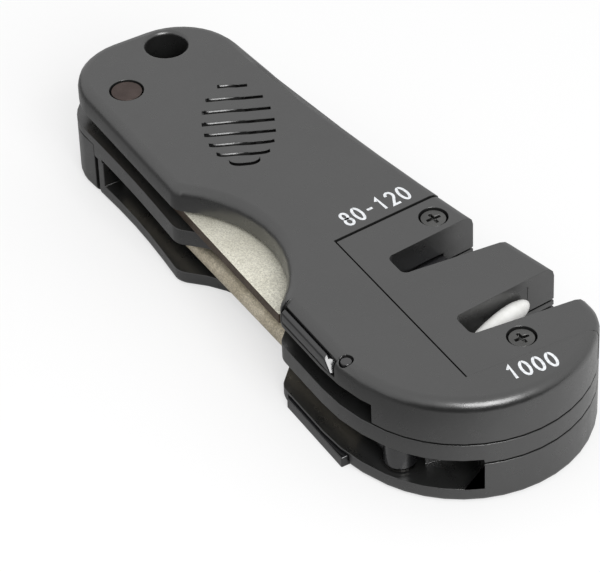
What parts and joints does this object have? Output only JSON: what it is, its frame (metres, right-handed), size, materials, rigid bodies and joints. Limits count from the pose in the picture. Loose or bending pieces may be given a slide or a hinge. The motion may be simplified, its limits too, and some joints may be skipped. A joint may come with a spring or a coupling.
{
  "type": "folding knife sharpener",
  "caption": "Folding pocket knife sharpener: plastic handle with a coarse and a fine pull-through notch, a flat diamond file and a tapered diamond rod that swing out, and a lanyard hole.",
  "frame": {"origin": "centre of the bounding box in plan, on the back face", "axes": "+X along the body from the handle end to the head, +Y towards the notches' mouths, +Z from the back face to the front face"},
  "size_m": [0.1082, 0.0394, 0.0191],
  "materials": {
    "cover_plastic": "fine grained black moulding with a soft sheen",
    "hub_plastic": "glossy black moulding",
    "black_steel": "black oxide steel",
    "bright_steel": "plain steel",
    "carbide": "ground dark grey carbide",
    "white_ceramic": "matte white abrasive ceramic",
    "diamond_grit": "nickel plating with fine diamond grit"
  },
  "bodies": {
    "handle": {"front_cover": "cover_plastic", "divider_plate": "cover_plastic", "rear_cover": "cover_plastic", "guide_block": "cover_plastic", "guide_screw_coarse": "black_steel", "guide_screw_fine": "black_steel", "carbide_blade_front": "carbide", "carbide_blade_rear": "carbide", "ceramic_rod_front": "white_ceramic", "ceramic_rod_rear": "white_ceramic", "file_pivot_pin": "black_steel", "file_washer": "bright_steel", "file_wave_washer": "bright_steel", "rod_pivot_screw": "bright_steel", "rod_washer": "bright_steel", "rod_wave_washer": "bright_steel", "front_catch": "hub_plastic", "front_catch_pin": "black_steel", "rear_catch": "hub_plastic", "rear_catch_pin": "bright_steel"},
    "file": {"file_plate": "diamond_grit"},
    "rod": {"diamond_rod": "diamond_grit", "rod_hub": "hub_plastic"}
  },
  "joints": [
    {"name": "file_pivot", "type": "hinge", "parent": "handle", "child": "file", "pos_m": [-0.041, -0.0132, 0.01315], "axis": [0, 0, -1], "range_deg": [0, 180]},
    {"name": "rod_pivot", "type": "hinge", "parent": "handle", "child": "rod", "pos_m": [0.0412, -0.0132, 0.0055], "axis": [0, 0, 1], "range_deg": [0, 180]}
  ]
}
